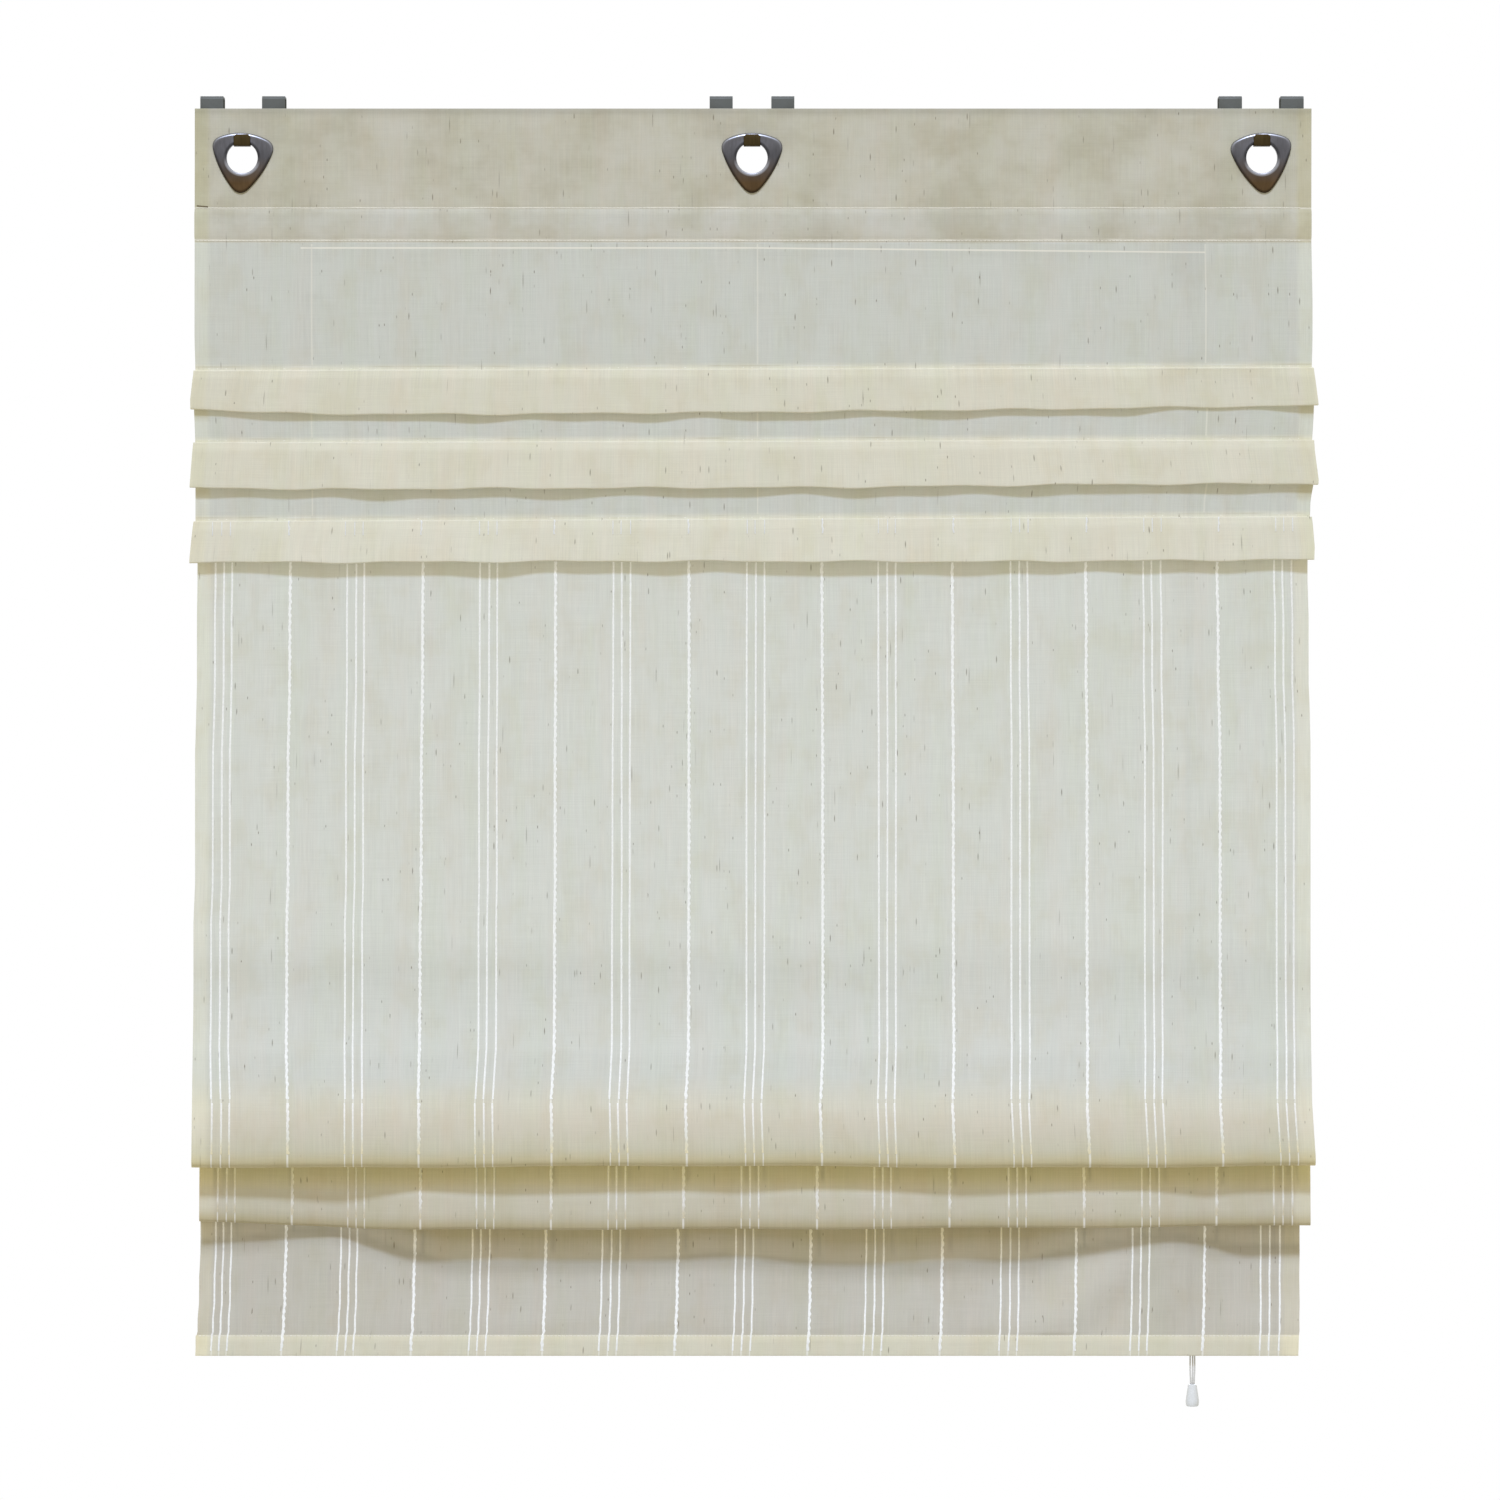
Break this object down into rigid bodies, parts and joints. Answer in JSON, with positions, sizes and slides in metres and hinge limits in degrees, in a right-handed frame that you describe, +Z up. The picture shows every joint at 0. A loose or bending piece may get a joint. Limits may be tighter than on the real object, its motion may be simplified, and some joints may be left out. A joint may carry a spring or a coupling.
{
  "type": "roman blind",
  "caption": "Semi-sheer striped roman blind, partly raised, hung by shield-shaped eyelets from hooks on sash hangers, with lift cords and a cord pull.",
  "frame": {"origin": "on the back of the middle hanger's plate, at the centre of the face that meets the sash", "axes": "+Z up, +Y away from the room towards the window, +X to the right as seen from the room"},
  "size_m": [1, 0.0584, 1.1785],
  "materials": {
    "cloth": "semi-sheer linen-look weave, unbleached cream",
    "stripe": "raised white yarn",
    "batten": "plain",
    "hem_bar": "mill",
    "eyelet": "satin nickel",
    "bracket": "flat grey",
    "hook": "dark bronze, semi-gloss",
    "ring": "moulded",
    "cord": "braided",
    "lock": "moulded",
    "steel": "plain",
    "pull": "smooth white"
  },
  "bodies": {
    "head": {"upper_cloth": "cloth", "striped_panel": "cloth", "panel_stripes": "stripe", "header_batten": "batten", "eyelet_fronts": "eyelet", "eyelet_backs": "eyelet", "hanger_rivets": "hook", "lock_screws": "steel", "cord_lock_housing": "lock", "guide_ring_left": "ring", "guide_ring_middle": "ring", "hanger_bracket_left": "bracket", "hanger_hook_left": "hook", "lift_cord_left": "cord", "head_cord_left": "cord", "pull_cord_left": "cord", "hanger_bracket_middle": "bracket", "hanger_hook_middle": "hook", "lift_cord_middle": "cord", "head_cord_middle": "cord", "pull_cord_middle": "cord", "hanger_bracket_right": "bracket", "hanger_hook_right": "hook", "lift_cord_right": "cord", "head_cord_right": "cord", "pull_cord_right": "cord", "ring_row_1": "ring", "ring_row_2": "ring"},
    "stack": {"lower_folds": "cloth", "fold_stripes": "stripe", "hem_bar": "hem_bar", "ring_row_5": "ring", "ring_row_6": "ring", "cord_knots": "cord"},
    "rings_upper": {"ring_row_3": "ring"},
    "rings_lower": {"ring_row_4": "ring"},
    "pull": {"pull_pendant": "pull", "pull_knot": "cord"},
    "roller": {"cord_lock_roller": "steel"}
  },
  "joints": [
    {"name": "lift", "type": "slide", "parent": "head", "child": "stack", "axis": [0, 0, 1], "range_m": [0, 0.46], "deforming": ["striped_panel", "panel_stripes", "lift_cord_left", "lift_cord_middle", "lift_cord_right"]},
    {"name": "rings_upper_rise", "type": "slide", "parent": "head", "child": "rings_upper", "axis": [0, 0, 1], "range_m": [0, 0.1839]},
    {"name": "rings_lower_rise", "type": "slide", "parent": "head", "child": "rings_lower", "axis": [0, 0, 1], "range_m": [0, 0.3695]},
    {"name": "pull_drop", "type": "slide", "parent": "head", "child": "pull", "axis": [0, 0, 1], "range_m": [-0.46, 0], "deforming": ["pull_cord_left", "pull_cord_middle", "pull_cord_right"]},
    {"name": "roller_release", "type": "slide", "parent": "head", "child": "roller", "axis": [0.342, 0, -0.9397], "range_m": [0, 0.004]}
  ],
  "couplings": [
    {"joint": "rings_upper_rise", "follows": "lift", "ratio": 0.3976},
    {"joint": "rings_lower_rise", "follows": "lift", "ratio": 0.801},
    {"joint": "pull_drop", "follows": "lift", "ratio": -1}
  ]
}
